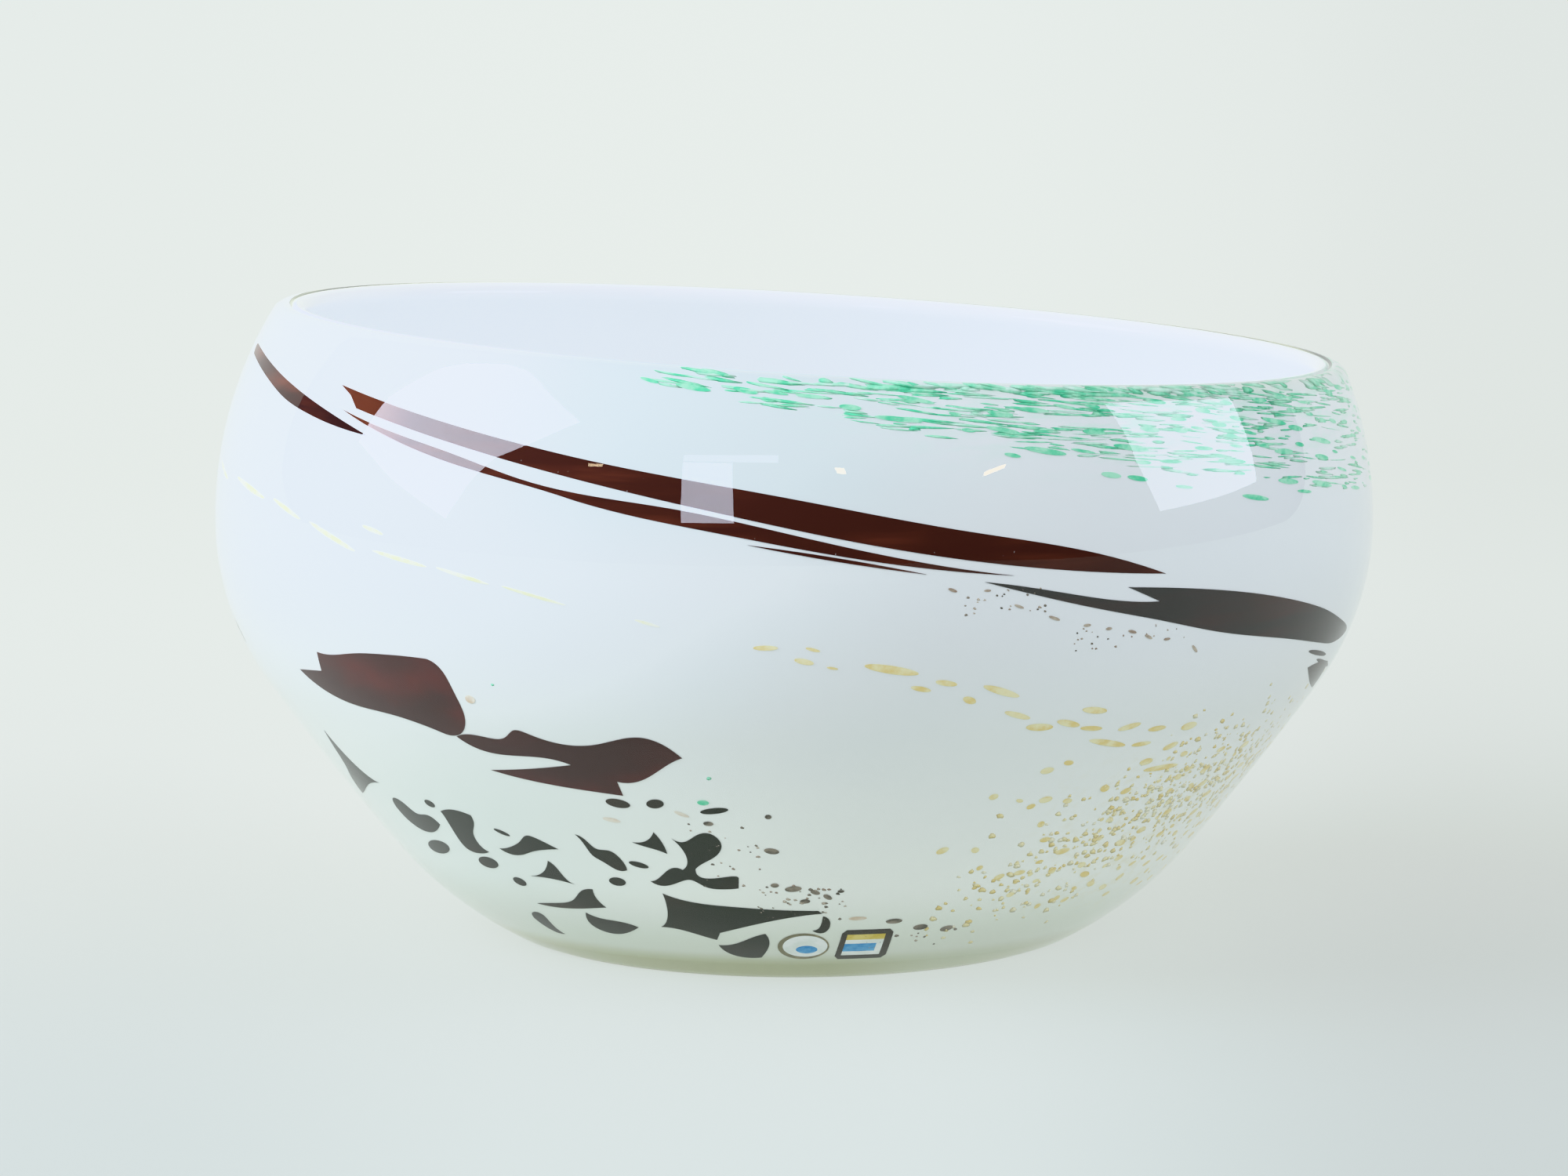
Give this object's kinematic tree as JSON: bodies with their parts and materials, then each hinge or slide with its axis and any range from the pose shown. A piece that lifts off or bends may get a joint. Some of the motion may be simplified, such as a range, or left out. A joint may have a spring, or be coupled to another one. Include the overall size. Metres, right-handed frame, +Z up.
{
  "type": "art glass bowl",
  "caption": "Blown art glass bowl, white opal cased in clear glass, slanted rim, inlaid burgundy ribbons, dark shards, green and yellow frit and murrine slices",
  "frame": {"origin": "on the table under the bowl's axis, at the centre of the ground base", "axes": "+Z up along the bowl's axis; -Y to the front with the long ribbon; the rim is high at -X and low at +X"},
  "size_m": [0.15, 0.15, 0.0818],
  "materials": {
    "clear_glass": "polished clear casing glass, slightly green in thick places",
    "opal_glass": "dense white opal glass under the clear coat, glossy inside",
    "burgundy_glass": "nearly opaque dark burgundy glass, redder where thin",
    "umber_glass": "nearly opaque brown-black glass",
    "brown_glass": "brown glass, half sunk in the opal",
    "tan_glass": "pale tan glass, half sunk in the opal",
    "green_glass": "bright sea green frit, paler where thin",
    "yellow_glass": "ochre yellow frit, paler where thin",
    "white_glass": "opaque white glass of the murrine slices",
    "blue_glass": "bright blue glass of the murrine slices"
  },
  "bodies": {
    "root": {"base_curl": "umber_glass", "base_drop": "umber_glass", "base_flag": "umber_glass", "base_flake": "umber_glass", "base_lens": "umber_glass", "base_shard": "umber_glass", "brown_specks": "brown_glass", "chip_bird": "umber_glass", "chip_boot": "umber_glass", "chip_diagonal": "umber_glass", "chip_pebbles": "umber_glass", "chip_right": "umber_glass", "chip_slanted": "umber_glass", "chip_specks": "umber_glass", "chip_tan_slips": "tan_glass", "chip_tapered": "umber_glass", "chip_triangle": "umber_glass", "chip_wedge": "umber_glass", "chips_back": "umber_glass", "clear_coat": "clear_glass", "green_frit": "green_glass", "murrine_bar_blue": "blue_glass", "murrine_bar_field": "white_glass", "murrine_bar_frame": "umber_glass", "murrine_bar_yellow": "yellow_glass", "murrine_round_core": "blue_glass", "murrine_round_field": "white_glass", "murrine_round_ring": "umber_glass", "opal_cup": "opal_glass", "ribbon_back": "burgundy_glass", "ribbon_back_thin": "burgundy_glass", "ribbon_left": "burgundy_glass", "ribbon_long": "burgundy_glass", "ribbon_right": "burgundy_glass", "ribbon_under": "burgundy_glass", "shard_back_fin": "umber_glass", "shard_back_leaf": "umber_glass", "shard_edge": "umber_glass", "shard_left": "umber_glass", "shard_swallow": "umber_glass", "streaks_right": "burgundy_glass", "thread_fine": "burgundy_glass", "yellow_dashes": "yellow_glass", "yellow_frit": "yellow_glass", "yellow_streak": "yellow_glass"}
  },
  "joints": []
}
